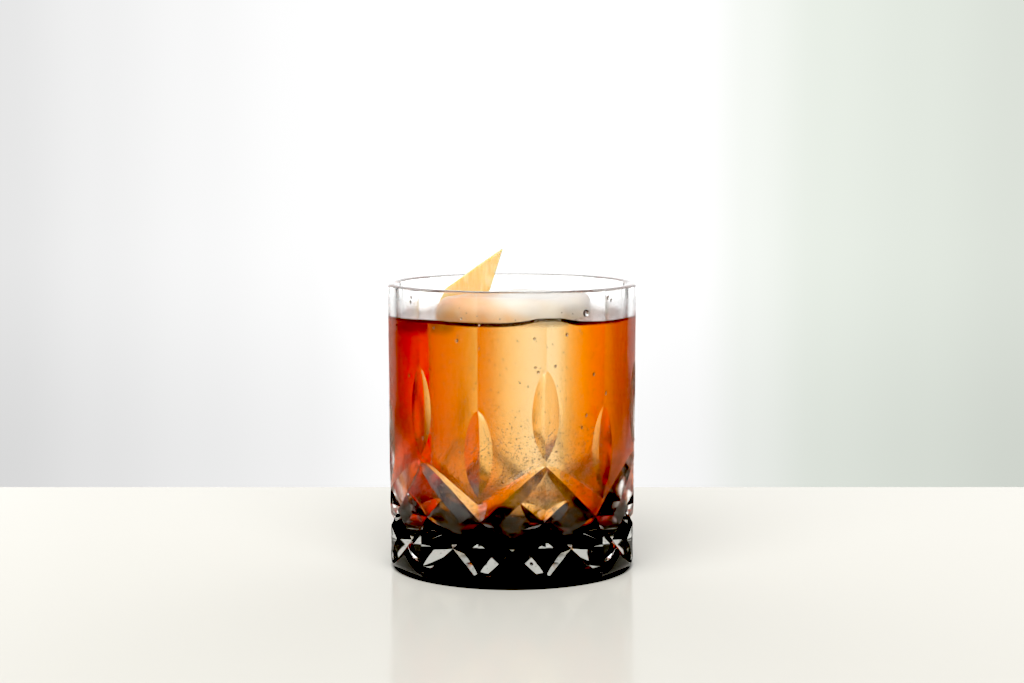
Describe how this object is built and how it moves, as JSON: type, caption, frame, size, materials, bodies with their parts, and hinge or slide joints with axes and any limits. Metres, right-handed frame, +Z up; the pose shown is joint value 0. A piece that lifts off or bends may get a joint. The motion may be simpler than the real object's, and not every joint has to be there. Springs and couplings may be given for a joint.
{
  "type": "whisky drink in a cut-glass tumbler",
  "caption": "Heavy cut-glass tumbler holding an amber whisky drink, a large clear block of ice and a pointed citrus peel.",
  "frame": {"origin": "middle of the tumbler's underside, on the surface it stands on", "axes": "+Z up along the tumbler's axis, -Y towards the drinker, +X to the drinker's right"},
  "size_m": [0.0818, 0.0818, 0.1034],
  "materials": {
    "glass": "clear polished cut glass with fine condensation low down",
    "drink": "clear amber liquid, dark brown at the bottom",
    "ice": "wet, slightly cloudy ice",
    "rind": "satin citrus rind with fine pores"
  },
  "bodies": {
    "root": {"tumbler": "glass", "drink": "drink", "ice_block": "ice", "citrus_peel": "rind"}
  },
  "joints": []
}
